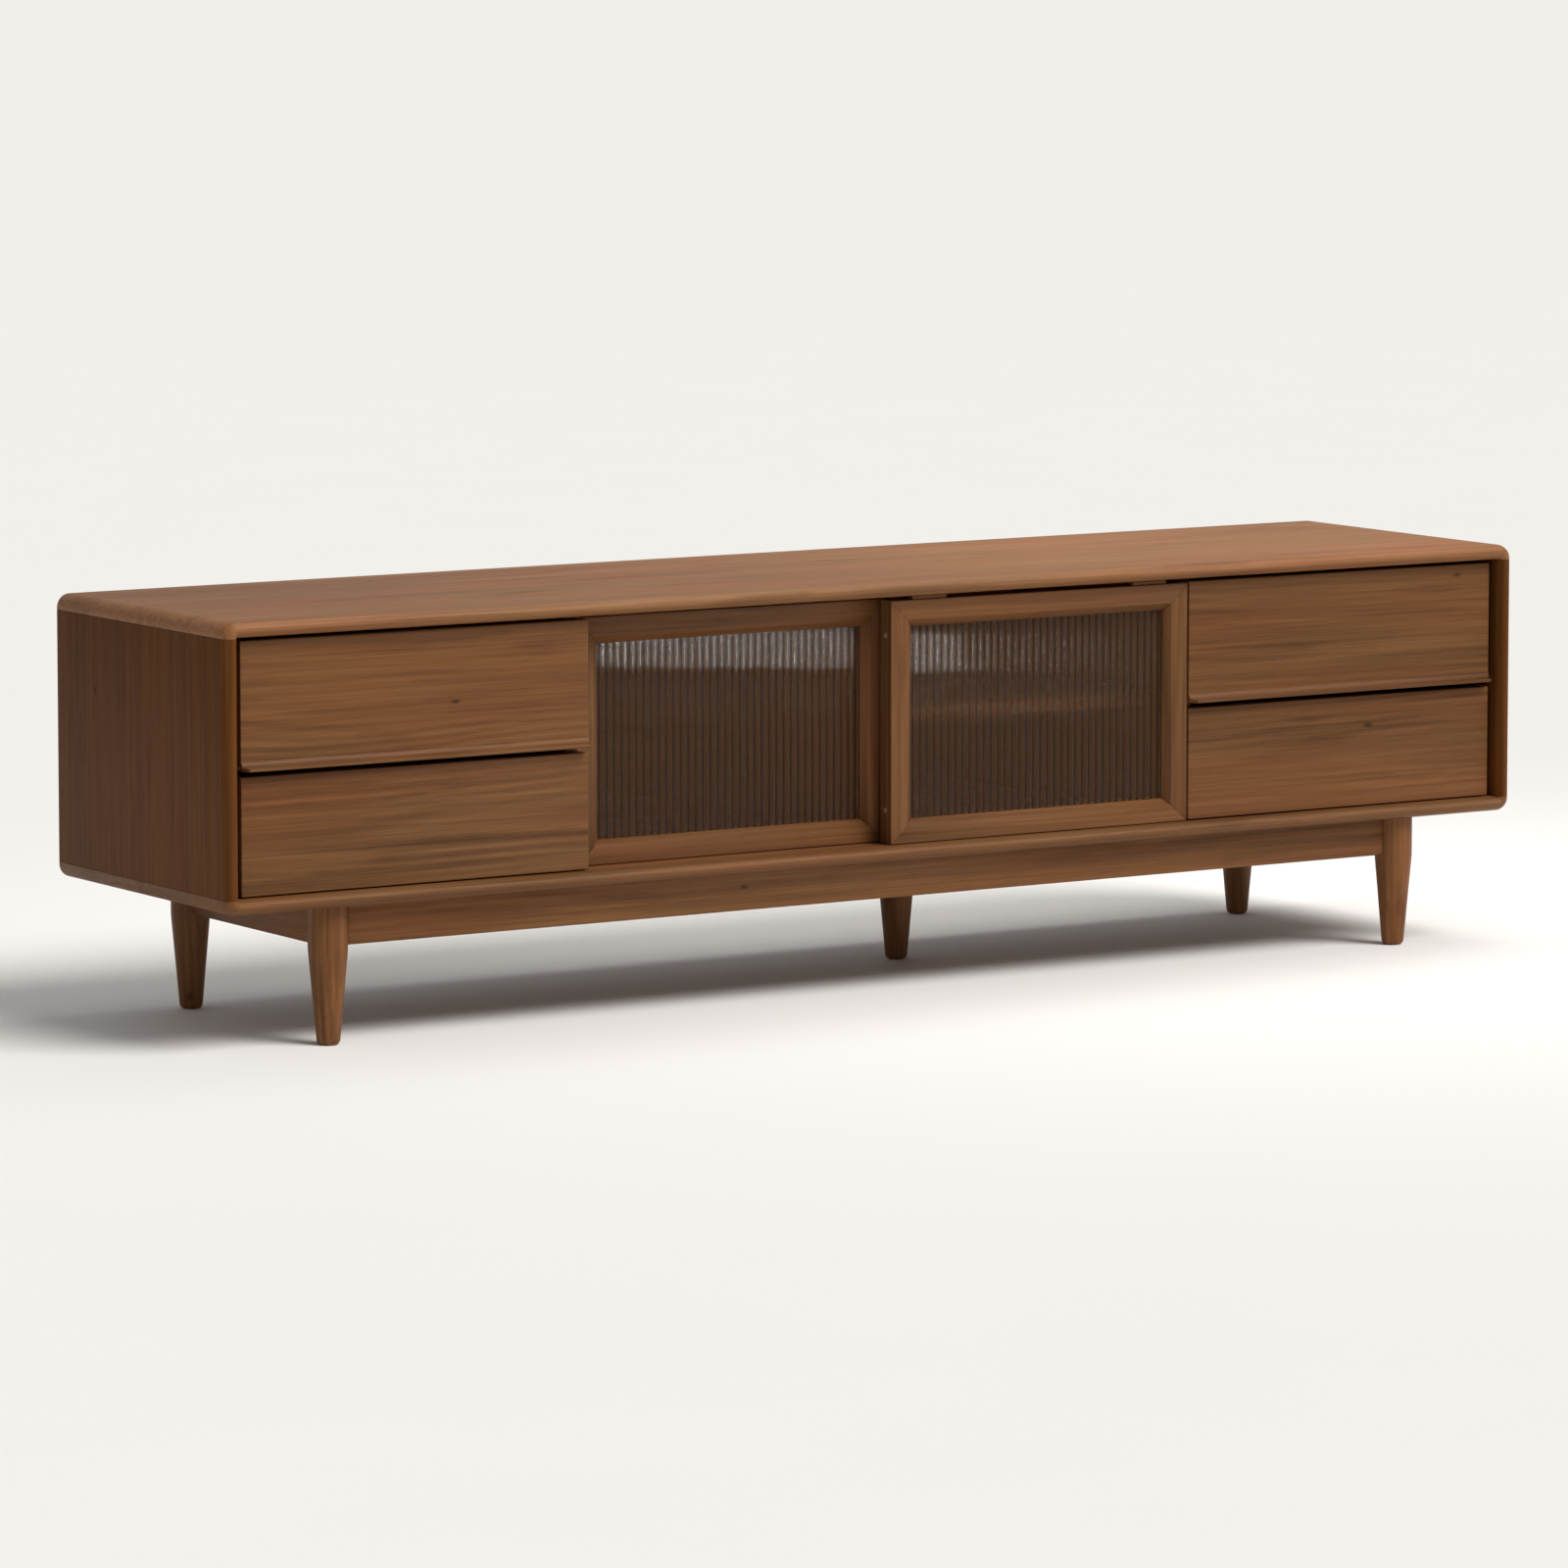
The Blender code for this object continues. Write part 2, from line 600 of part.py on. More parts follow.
def door(name, low_x, face):
    high_x = low_x + DOOR_WIDTH
    middle_x, middle_z = (low_x + high_x) / 2, (DOOR_FLOOR + DOOR_ROOF) / 2
    height = DOOR_ROOF - DOOR_FLOOR
    stile, top_rail, bottom_rail = STILE_WIDTH, TOP_RAIL_WIDTH, BOTTOM_RAIL_WIDTH
    # A turn of 180 or 90 degrees also swaps which end of the member is low or left.
    members = (
        ("stile_left", stile, height, bottom_rail, top_rail, (low_x, face, middle_z), 0),
        ("stile_right", stile, height, top_rail, bottom_rail, (high_x, face, middle_z), 180),
        ("rail_top", top_rail, DOOR_WIDTH, stile, stile, (middle_x, face, DOOR_ROOF), 90),
        ("rail_bottom", bottom_rail, DOOR_WIDTH, stile, stile, (middle_x, face, DOOR_FLOOR), -90),
    )
    pieces = [frame_member(f"{name}_{piece[0]}", *piece[1:]) for piece in members]
    pieces.append(glass_pane(name + "_glass", low_x, high_x, face))
    left_guide = low_x + GUIDE_INSET
    right_guide = high_x - GUIDE_INSET - GUIDE_LENGTH
    pieces.append(guide_block(name + "_guide_left", left_guide, face))
    pieces.append(guide_block(name + "_guide_right", right_guide, face))
    ride(pieces, name, (middle_x, face + DOOR_THICKNESS / 2, middle_z))


def doors():
    edge = BAY_HALF_WIDTH - DOOR_SIDE_GAP
    door("door_left", -edge, REAR_DOOR_FACE)
    door("door_right", edge - DOOR_WIDTH, FACE)


case()
base()
drawers()
doors()
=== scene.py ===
import math

import bmesh
import bpy
import numpy as np
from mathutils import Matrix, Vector


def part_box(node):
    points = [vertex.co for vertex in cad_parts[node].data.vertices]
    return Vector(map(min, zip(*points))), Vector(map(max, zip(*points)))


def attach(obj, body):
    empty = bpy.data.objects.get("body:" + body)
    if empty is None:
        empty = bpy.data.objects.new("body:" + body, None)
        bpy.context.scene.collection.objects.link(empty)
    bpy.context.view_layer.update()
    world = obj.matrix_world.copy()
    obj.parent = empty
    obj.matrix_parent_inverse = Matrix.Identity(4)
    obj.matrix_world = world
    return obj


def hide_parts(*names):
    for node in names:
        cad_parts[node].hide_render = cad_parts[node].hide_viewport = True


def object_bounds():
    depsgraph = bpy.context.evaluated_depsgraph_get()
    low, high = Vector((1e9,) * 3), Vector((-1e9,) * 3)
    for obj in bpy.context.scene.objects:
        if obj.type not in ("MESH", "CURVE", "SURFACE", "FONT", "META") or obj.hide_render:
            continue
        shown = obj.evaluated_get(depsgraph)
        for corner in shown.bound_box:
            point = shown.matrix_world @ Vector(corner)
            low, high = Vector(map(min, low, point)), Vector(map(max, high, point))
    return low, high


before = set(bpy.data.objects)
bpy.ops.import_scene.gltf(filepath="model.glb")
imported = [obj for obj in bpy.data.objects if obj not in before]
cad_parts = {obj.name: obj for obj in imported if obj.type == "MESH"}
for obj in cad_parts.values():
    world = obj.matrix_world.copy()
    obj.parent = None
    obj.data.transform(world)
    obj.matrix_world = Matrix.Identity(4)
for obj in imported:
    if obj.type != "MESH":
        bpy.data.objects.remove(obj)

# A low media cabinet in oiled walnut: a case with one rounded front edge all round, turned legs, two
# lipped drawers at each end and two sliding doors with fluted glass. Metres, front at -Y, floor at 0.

cad_low, cad_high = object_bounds()

# ---- Camera, floor and light -----------------------------------------------------------------------
# A long lens a little above the top board takes in the left side and the whole front. The floor is
# pale and plain. The light is a wide sun from high in front on the right, an even sky, a soft lamp
# over the right end of the top, and a low strip that the glass reflects.

view_yaw = math.radians(32.45)
view_pitch = math.radians(5.83)
view_distance = 9.397
aim = Vector((-0.038, (cad_low.y + cad_high.y) / 2 - 0.005, cad_high.z - 0.068))
looking = Vector(
    (
        math.sin(view_yaw) * math.cos(view_pitch),
        math.cos(view_yaw) * math.cos(view_pitch),
        -math.sin(view_pitch),
    )
)
camera_data = bpy.data.cameras.new("camera")
camera_data.lens = 181.1
camera_data.shift_y = -0.1
camera_data.clip_end = 200
camera = bpy.data.objects.new("camera", camera_data)
camera.location = aim - looking * view_distance
camera.rotation_euler = (math.pi / 2 - view_pitch, 0, -view_yaw)
bpy.context.scene.collection.objects.link(camera)
bpy.context.scene.camera = camera
bpy.context.scene.view_settings.view_transform = "Standard"


class Reading:
    """A socket's value. Arithmetic on it adds Math nodes to its material's tree."""

    def __init__(self, recipe, socket):
        self.recipe, self.socket = recipe, socket

    def _math(self, operation, first, second=0.0):
        return self.recipe.add("Math", {"operation": operation}, {0: first, 1: second})

    def __add__(self, other):
        return self._math("ADD", self, other)

    def __sub__(self, other):
        return self._math("SUBTRACT", self, other)

    def __rsub__(self, other):
        return self._math("SUBTRACT", other, self)

    def __mul__(self, other):
        return self._math("MULTIPLY", self, other)

    def __truediv__(self, other):
        return self._math("DIVIDE", self, other)

    def __pow__(self, other):
        return self._math("POWER", self, other)

    def __gt__(self, other):
        return self._math("GREATER_THAN", self, other)

    __radd__, __rmul__ = __add__, __mul__

    def floor(self):
        return self._math("FLOOR", self)

    def sine(self):
        return self._math("SINE", self)

    def ramp(self, low, high):
        """0 below low, 1 above high, and straight between them."""
        return self.recipe.add("MapRange", {"clamp": True}, {0: self, 1: low, 2: high})


class Recipe:
    """A material and its node tree, with its Principled BSDF as surface."""

    def __init__(self, name):
        self.material = bpy.data.materials.new(name)
        self.material.use_nodes = True
        self.tree = self.material.node_tree
        self.surface = self.tree.nodes["Principled BSDF"]

    def add(self, kind, settings=None, values=None, output=0):
        """Adds a node of a kind, gives it its settings, then its sockets' values or links."""
        node = self.tree.nodes.new("ShaderNode" + kind)
        for key, setting in (settings or {}).items():
            if key == "stops":
                self.set_stops(node.color_ramp, setting)
            else:
                setattr(node, key, setting)
        self.feed(node, values or {})
        return Reading(self, node.outputs[output])

    def feed(self, node, values):
        for key, value in values.items():
            if isinstance(value, Reading):
                self.tree.links.new(value.socket, node.inputs[key])
            else:
                node.inputs[key].default_value = value

    @staticmethod
    def set_stops(ramp, stops):
        """Puts (place, linear colour) stops on a colour ramp."""
        while len(ramp.elements) < len(stops):
            ramp.elements.new(1)
        for element, (place, colour) in zip(ramp.elements, stops):
            element.position = place
            element.color = (*colour, 1)


def pale_floor():
    """A round sheet of floor: rings of a wide disc, with a faint dust in its finish."""
    rim = 90.0
    turn = np.linspace(0, 2 * np.pi, 65)[:-1]
    points = np.stack([np.cos(turn) * rim, np.sin(turn) * rim, np.zeros_like(turn)], axis=1)
    mesh = bpy.data.meshes.new("floor")
    mesh.from_pydata(points, [], [range(len(turn))])
    recipe = Recipe("pale_floor")
    spot = recipe.add("TexCoord", output=3)
    dust = recipe.add("TexNoise", None, {"Vector": spot, "Scale": 3.0, "Detail": 4.0})
    recipe.feed(recipe.surface, {"Base Color": (0.86, 0.855, 0.845, 1), "Roughness": 0.7 + 0.1 * dust})
    mesh.materials.append(recipe.material)
    sheet = bpy.data.objects.new("floor", mesh)
    bpy.context.scene.collection.objects.link(sheet)


def softbox(name, place, aimed_at, size, power, spread):
    """A rectangular light of a given width and height, facing a point, its beam spread in degrees."""
    lamp = bpy.data.lights.new(name, "AREA")
    lamp.shape = "RECTANGLE"
    lamp.size, lamp.size_y = size
    lamp.energy = power
    lamp.spread = math.radians(spread)
    lamp.color = (1.0, 0.98, 0.95)
    obj = bpy.data.objects.new(name, lamp)
    obj.location = place
    obj.rotation_euler = (Vector(aimed_at) - Vector(place)).to_track_quat("-Z", "Y").to_euler()
    bpy.context.scene.collection.objects.link(obj)


pale_floor()
sun = bpy.data.lights.new("soft_sun", "SUN")
sun.energy = 3.0
sun.angle = math.radians(32)
sun.color = (1.0, 0.975, 0.94)
sun_object = bpy.data.objects.new("soft_sun", sun)
sun_object.rotation_euler = Vector((-0.30, 0.56, -0.77)).to_track_quat("-Z", "Y").to_euler()
bpy.context.scene.collection.objects.link(sun_object)
softbox("low_window", (1.10, -2.30, 0.155), (-0.33, -0.16, 0.30), (0.7, 0.055), 0.065, 20)
softbox("overhead", (0.75, 0.10, 1.55), (0.72, 0, 0.49), (1.9, 0.5), 5.5, 110)
sky = bpy.data.worlds.new("sky")
sky.use_nodes = True
sky.node_tree.nodes["Background"].inputs["Color"].default_value = (1.0, 0.995, 0.985, 1)
sky.node_tree.nodes["Background"].inputs["Strength"].default_value = 0.35
bpy.context.scene.world = sky

# ---- Case: top, bottom and side boards -------------------------------------------------------------
# Four 18 mm boards glued up from narrow walnut staves, dowelled at the corners and oiled. The front
# edge of all four is one half-round nose, and it follows the rounded corners of the case.

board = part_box("side_panel_left")[1].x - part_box("side_panel_left")[0].x
front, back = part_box("top_panel")[0].y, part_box("top_panel")[1].y
nose = 0.0145
face = front + nose
case_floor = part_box("bottom_panel")[1].z
case_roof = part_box("top_panel")[0].z
stave = 0.098


def wood(name, tones, figure, stave_width=None, turned=None, gloss=0.15):
    """A wood material on grain coordinates: metres along, across and through the board.

    Growth rings are a sine of the distance from a pith that lies under the board; noise bends them.
    Long thin noise gives the streaks and, thinner still, the open pores. Wide noise shifts the tone.
    Patches of noise give dark smudges, and sparse cells give pin knots. Staves, where there are any,
    shift the pattern along and change the tone from one strip to the next.
    turned names the object axes that lie along, across and through; without it the piece's own
    grain attribute is read.
    """
    recipe = Recipe(name)
    if turned:
        split = recipe.add("SeparateXYZ", None, {0: recipe.add("TexCoord", output=3)})
        outputs = split.socket.node.outputs
        along, across, through = (Reading(recipe, outputs[axis]) for axis in turned)
    else:
        grain = recipe.add("Attribute", {"attribute_name": "grain"}, output=1)
        outputs = recipe.add("SeparateXYZ", None, {0: grain}).socket.node.outputs
        along, across, through = (Reading(recipe, outputs[axis]) for axis in "XYZ")
    ring_width = 0.0085
    pith_depth = 0.05
    stave_offset = 5.3
    stave_contrast = 0.16
    strip_tone = 0.0
    if stave_width:
        strip = (across / stave_width).floor()
        across = across - (strip + 0.5) * stave_width
        along = along + strip * stave_offset
        pick = recipe.add("TexWhiteNoise", {"noise_dimensions": "1D"}, {"W": strip + 0.37})
        strip_tone = (pick - 0.5) * stave_contrast

    def noise(scales, detail=2.0, shift=0.0):
        """Noise stretched by its own frequency along, across and through, in cycles a metre."""
        spot = recipe.add(
            "CombineXYZ",
            None,
            {0: along * scales[0] + shift, 1: across * scales[1], 2: through * scales[1]},
        )
        return recipe.add("TexNoise", None, {"Vector": spot, "Scale": 1.0, "Detail": detail})

    bend = noise((1.7, 5.0)) - 0.5
    bent = across + bend * 0.055
    depth = through + pith_depth + (noise((0.8, 2.0), 1.0, 7.0) - 0.5) * 0.06
    reach = (bent * bent + depth * depth) ** 0.5
    rings = (reach * (2 * math.pi / ring_width) + bend * 5.0).sine() * 0.5 + 0.5
    ring_fade = noise((1.3, 9.0), 2.0, 3.0).ramp(0.35, 0.7)
    streak = noise((2.6, 150.0), 5.0)
    thread = noise((7.0, 520.0), 3.0, 11.0)
    pores = noise((26.0, 1500.0), 1.0, 2.0).ramp(0.58, 0.72)
    tone = noise((0.8, 6.5), 2.0, 5.0)
    smudge = noise((5.0, 34.0), 2.0, 19.0).ramp(0.60, 0.78)
    cell = recipe.add("CombineXYZ", None, {0: along * 5.0, 1: across * 11.0})
    cells = recipe.add("TexVoronoi", {"voronoi_dimensions": "2D"}, {"Vector": cell, "Scale": 1.0})
    chance = recipe.add(
        "SeparateColor", None, {0: Reading(recipe, cells.socket.node.outputs["Color"])}
    )
    knot = (1 - (cells + (thread - 0.5) * 0.03).ramp(0.012, 0.040)) * (chance > 0.72)

    value = 0.5 + (streak - 0.5) * 0.75 + (thread - 0.5) * 0.45 + (tone - 0.5) * 0.55 + strip_tone
    value = value - rings * ring_fade * (0.26 * figure) - smudge * (0.30 * figure) - knot * 0.40
    dark, middle, light = tones
    stops = ((0.0, dark), (0.50, middle), (1.0, light))
    colour = recipe.add("ValToRGB", {"stops": stops}, {0: value - pores * 0.14})
    warm = noise((1.4, 10.0), 2.0, 29.0).ramp(0.40, 0.66)
    tint = recipe.add(
        "Mix",
        {"data_type": "RGBA"},
        {0: warm, 6: (0.97, 1.02, 1.00, 1), 7: (1.06, 0.97, 0.92, 1)},
        output=2,
    )
    colour = recipe.add(
        "Mix", {"data_type": "RGBA", "blend_type": "MULTIPLY"}, {0: 1.0, 6: colour, 7: tint}, output=2
    )
    rough = 0.44 + (streak - 0.5) * 0.16 + pores * 0.14 + smudge * 0.04
    height = 1 - pores * 0.8 + (thread - 0.5) * 0.5
    bump = recipe.add("Bump", None, {"Strength": 0.35, "Distance": 0.0002, "Height": height})
    recipe.feed(recipe.surface, {"Base Color": colour, "Roughness": rough, "Normal": bump})
    recipe.feed(recipe.surface, {"Specular IOR Level": gloss})
    return recipe.material


walnut_tones = ((0.052, 0.0185, 0.0056), (0.142, 0.059, 0.0205), (0.240, 0.110, 0.045))
# Painted shade: a darker copy of the walnut for the side boards, which face away from the light.
shaded_side_tones = ((0.037, 0.0115, 0.003), (0.100, 0.034, 0.0080), (0.172, 0.066, 0.020))
# Paler walnut for the inner boards and the back, and for the top board as painted light: its top lit from
# above.
pale_and_top_lit_tones = ((0.082, 0.031, 0.010), (0.222, 0.096, 0.038), (0.353, 0.170, 0.077))
walnut = wood("walnut", walnut_tones, 0.85)
# Painted light: the top board is lighter than the front because light falls on it from above.
top_lit_staves = wood("top_lit_walnut_staves", pale_and_top_lit_tones, 0.6, stave)
walnut_staves = wood("walnut_staves", walnut_tones, 0.6, stave)
shaded_side_staves = wood("shaded_side_walnut_staves", shaded_side_tones, 0.5, stave, gloss=0.04)
grain_shifts = np.random.default_rng(7)


def skin(name, rings, body, material, grain, stands_for=(), sharp=35):
    """A closed mesh from rings of points, shape (rings, points, 3), as whole arrays.

    Each ring joins the next by quads and the first and last are capped. grain names the axes along,
    across and through the wood; the grain attribute holds the place on those axes from the middle of
    the piece, moved a seeded way along so that no two pieces are cut from the same spot.
    """
    rows, columns = rings.shape[:2]
    points = rings.reshape(-1, 3)
    row, column = np.meshgrid(np.arange(rows - 1), np.arange(columns), indexing="ij")
    here, beside = row * columns + column, row * columns + (column + 1) % columns
    quads = np.stack([here, beside, beside + columns, here + columns], axis=-1).reshape(-1, 4)
    caps = [list(range(columns)), list(range((rows - 1) * columns, rows * columns))]
    mesh = bpy.data.meshes.new(name)
    mesh.from_pydata(points, [], quads.tolist() + caps)
    shape = bmesh.new()
    shape.from_mesh(mesh)
    bmesh.ops.remove_doubles(shape, verts=shape.verts, dist=2e-6)
    bmesh.ops.dissolve_degenerate(shape, edges=shape.edges, dist=1e-7)
    bmesh.ops.recalc_face_normals(shape, faces=shape.faces)
    shape.to_mesh(mesh)
    shape.free()
    mesh.shade_smooth()
    mesh.set_sharp_from_angle(angle=math.radians(sharp))
    finish_piece(name, mesh, body, material, grain, stands_for)


def finish_piece(name, mesh, body, material, grain, stands_for=()):
    """Writes the grain attribute, gives the mesh its material and makes it ride on its body."""
    places = np.empty(len(mesh.vertices) * 3, np.float32)
    mesh.vertices.foreach_get("co", places)
    places = places.reshape(-1, 3)
    middle = (places.min(axis=0) + places.max(axis=0)) / 2
    order = ["XYZ".index(axis) for axis in grain]
    shift = np.array([grain_shifts.uniform(-9, 9), grain_shifts.uniform(-0.02, 0.02), 0])
    attribute = mesh.attributes.new("grain", "FLOAT_VECTOR", "POINT")
    attribute.data.foreach_set("vector", ((places - middle)[:, order] + shift).ravel())
    mesh.materials.append(material)
    piece = bpy.data.objects.new(name, mesh)
    bpy.context.scene.collection.objects.link(piece)
    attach(piece, body)
    if stands_for:
        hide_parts(*stands_for)
    return piece


def loop_board(name, up):
    """The top board, or with up = -1 the bottom one: one nosed section turned round both corners.

    Each ring lies in a plane through the inner edge line of the case. On a ray from that line, s is
    the distance to it and t the distance to the outside, and q = (s - t) / (s + t) runs from -1 to 1.
    The nose stands out of the front plane by nose * sqrt(1 - q * q), so it is a half ellipse along
    the board and follows the rounded corner at its ends.
    """
    corner_radius = 0.016
    fan = np.linspace(0, np.pi / 2, 13)
    angles = np.concatenate([np.pi - fan, fan[::-1]])
    inner_x = np.where(angles > np.pi / 2, cad_low.x + board, cad_high.x - board)
    inner_x[len(fan) - 1], inner_x[len(fan)] = cad_low.x + board, cad_high.x - board
    away = np.abs(np.cos(angles)), np.sin(angles)
    inset = board - corner_radius
    along_arc = inset * (away[0] + away[1])
    arc_reach = along_arc + np.sqrt(along_arc**2 - 2 * inset**2 + corner_radius**2)
    flat_reach = board / np.maximum(*away)
    on_arc = (flat_reach * away[0] > inset) & (flat_reach * away[1] > inset)
    reach = np.where(on_arc, arc_reach, flat_reach)[:, None]

    share = (1 - np.cos(np.linspace(0, np.pi, 21)))[None, :] / 2
    out, rise = share * reach * away[0][:, None], share * reach * away[1][:, None]
    s = share * reach
    t = np.minimum(board - out, board - rise)
    round_part = (out > inset) & (rise > inset)
    t = np.where(round_part, corner_radius - np.hypot(out - inset, rise - inset), t)
    q = np.clip((s - t) / (s + t), -1, 1)
    nose_y = face - nose * np.sqrt(1 - q * q)

    ease = 0.0015
    turn = np.linspace(0, np.pi / 2, 5)[None, :]
    heel_s = reach - ease * (1 - np.cos(turn))
    heel_y = np.broadcast_to(back - ease + ease * np.sin(turn), heel_s.shape)
    zero = np.zeros_like(reach)
    ray = np.concatenate([s, heel_s, zero], axis=1)
    depth = np.concatenate([nose_y, heel_y, zero + back], axis=1)
    side = np.sign(np.cos(angles))
    side[len(fan) - 1], side[len(fan)] = -1, 1
    x = inner_x[:, None] + side[:, None] * ray * away[0][:, None]
    z = (case_roof if up > 0 else case_floor) + up * ray * away[1][:, None]
    node = "top_panel" if up > 0 else "bottom_panel"
    # The top board takes the copy painted lighter, as lit from above; the bottom board takes plain walnut.
    staves = top_lit_staves if up > 0 else walnut_staves
    skin(name, np.stack([x, depth, z], axis=-1), "case", staves, "XYZ", [node], 40)


def arc(centre, radii, start, end, steps):
    """Points on an ellipse from one angle to another, in degrees, both ends included."""
    angle = np.radians(np.linspace(start, end, steps + 1))
    return np.stack([centre[0] + radii[0] * np.cos(angle), centre[1] + radii[1] * np.sin(angle)], 1)


def drawn_in(outline, inset):
    """An outline moved inwards by each of several distances, along the mitre of its two edges."""
    ahead = np.roll(outline, -1, axis=0) - outline
    ahead = ahead / np.linalg.norm(ahead, axis=1, keepdims=True)
    behind = np.roll(ahead, 1, axis=0)
    area = np.sum(outline[:, 0] * np.roll(outline[:, 1], -1) - outline[:, 1] * np.roll(outline[:, 0], -1))
    hand = 1 if area > 0 else -1
    normal = ahead + behind
    normal = np.stack([-normal[:, 1], normal[:, 0]], axis=1) * hand
    normal = normal / np.linalg.norm(normal, axis=1, keepdims=True)
    edge_normal = np.stack([-ahead[:, 1], ahead[:, 0]], axis=1) * hand
    mitre = np.maximum(np.sum(normal * edge_normal, axis=1), 0.5)
    return outline[None] + (normal / mitre[:, None])[None] * inset[:, None, None]


def carried(outline, ends, axes, rounding=0.0008, cuts=(0.0, 0.0), steps=3):
    """Rings of an outline carried along a straight line between two ends.

    The first and last rings draw in along a quarter circle, which rounds the end edges. axes names
    the axes of the outline and of the line, such as "YZX". cuts says how far each outline point's own
    end lies inside the piece's end, which makes a mitre or a slant.
    """
    turn = np.linspace(np.pi / 2, 0, steps + 1)
    inset = rounding * (1 - np.cos(turn))
    from_end = rounding * (1 - np.sin(turn))[:, None]
    rings = drawn_in(outline, np.concatenate([inset, inset[::-1]]))
    low = ends[0] + np.asarray(cuts[0]) + from_end
    high = ends[1] - np.asarray(cuts[1]) - from_end[::-1]
    flat = np.zeros(len(outline))
    line = np.concatenate([low + flat, high + flat])
    order = [axes.index(axis) for axis in "XYZ"]
    return np.concatenate([rings, line[..., None]], axis=-1)[..., order]


def filleted(corners, radii, steps=4):
    """A polygon with each corner turned into an arc of its own radius, tangent to both edges.

    The arc runs from the tangent point on one edge to the one on the next, turned about a centre on
    the corner's bisector at radius / sin(half the corner's angle).
    """
    corners = np.asarray(corners, float)
    radii = np.broadcast_to(np.asarray(radii, float), len(corners))[:, None]
    back_way = np.roll(corners, 1, axis=0) - corners
    back_way = back_way / np.linalg.norm(back_way, axis=1, keepdims=True)
    on_way = np.roll(corners, -1, axis=0) - corners
    on_way = on_way / np.linalg.norm(on_way, axis=1, keepdims=True)
    half = np.arccos(np.clip(np.sum(back_way * on_way, axis=1, keepdims=True), -1, 1)) / 2
    bisector = back_way + on_way
    bisector = bisector / np.maximum(np.linalg.norm(bisector, axis=1, keepdims=True), 1e-9)
    centre = corners + bisector * radii / np.sin(half)
    first = corners + back_way * radii / np.tan(half) - centre
    last = corners + on_way * radii / np.tan(half) - centre
    swing = np.maximum(np.pi - 2 * half, 1e-6)[:, None]
    share = np.linspace(0, 1, steps + 1)[None, :, None]
    along = np.sin((1 - share) * swing) * first[:, None] + np.sin(share * swing) * last[:, None]
    return distinct((centre[:, None] + along / np.sin(swing)).reshape(-1, 2))


def distinct(*parts):
    """Stretches of outline joined into one, without the points that repeat the one before."""
    outline = np.concatenate(parts)
    step = np.linalg.norm(outline - np.roll(outline, 1, axis=0), axis=1)
    return outline[step > 1e-6]


def side_board(name, node):
    """A side board: the nosed section, round behind as well, carried from bottom to top board."""
    low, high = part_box(node)
    middle, half = (low.x + high.x) / 2, board / 2
    heel = 0.0015
    outline = distinct(
        arc((middle, face), (half, nose), 180, 360, 20),
        arc((middle + half - heel, back - heel), (heel, heel), 0, 90, 4),
        arc((middle - half + heel, back - heel), (heel, heel), 90, 180, 4),
    )
    rings = carried(outline, (low.z, high.z), "XYZ", 0.0003, steps=2)
    # The side boards take the darker copy, painted shade.
    skin(name, rings, "case", shaded_side_staves, "ZYX", [node], 40)


loop_board("top_board", 1)
loop_board("bottom_board", -1)
side_board("side_board_left", "side_panel_left")
side_board("side_board_right", "side_panel_right")

# ---- Inside the case: dividers, partition, shelf and back ------------------------------------------
# Plain walnut boards with eased edges stand between the top and bottom. The shelf rests on steel pins
# in the partition and the divider, and a veneered back is screwed into a rebate with cable holes.

eased = 0.0012
bay_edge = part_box("divider_right")[0].x


def plank(name, node, grain, material=None, body="case", edge=eased):
    """A board with eased edges: a rounded rectangle carried along the grain of its CAD node's box."""
    low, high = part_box(node)
    along, across, through = grain
    u, v, w = ("XYZ".index(axis) for axis in (across, through, along))
    corners = [(low[u], low[v]), (high[u], low[v]), (high[u], high[v]), (low[u], high[v])]
    rings = carried(filleted(corners, edge), (low[w], high[w]), across + through + along, edge)
    skin(name, rings, body, material or walnut, grain, [node])


inner_walnut = wood("inner_walnut", pale_and_top_lit_tones, 0.7)
plank("divider_board_left", "divider_left", "ZYX", inner_walnut)
plank("divider_board_right", "divider_right", "ZYX", inner_walnut)
plank("partition_board", "centre_partition", "ZYX", inner_walnut)
plank("shelf_board", "shelf", "XYZ")


def steel(name, colour, roughness):
    """Zinc-plated steel: brushed along its length by thin noise, with cloudy plating."""
    recipe = Recipe(name)
    spot = recipe.add("TexCoord", output=3)
    lines = recipe.add("Mapping", None, {"Vector": spot, "Scale": (900, 14, 900)})
    brushed = recipe.add("TexNoise", None, {"Vector": lines, "Scale": 1.0, "Detail": 3.0})
    cloud = recipe.add("TexNoise", None, {"Vector": spot, "Scale": 60.0, "Detail": 3.0})
    dull = tuple(0.72 * part for part in colour)
    shade = recipe.add(
        "Mix", {"data_type": "RGBA"}, {0: cloud.ramp(0.3, 0.75), 6: (*dull, 1), 7: (*colour, 1)}, output=2
    )
    bump = recipe.add("Bump", None, {"Strength": 0.2, "Distance": 0.0001, "Height": brushed})
    rough = roughness + (brushed - 0.5) * 0.2 + (cloud - 0.5) * 0.1
    recipe.feed(
        recipe.surface, {"Base Color": shade, "Roughness": rough, "Normal": bump, "Metallic": 1.0}
    )
    return recipe.material


zinc = steel("zinc_plate", (0.60, 0.60, 0.61), 0.30)
brass = steel("screw_yellow_zinc", (0.66, 0.52, 0.27), 0.32)


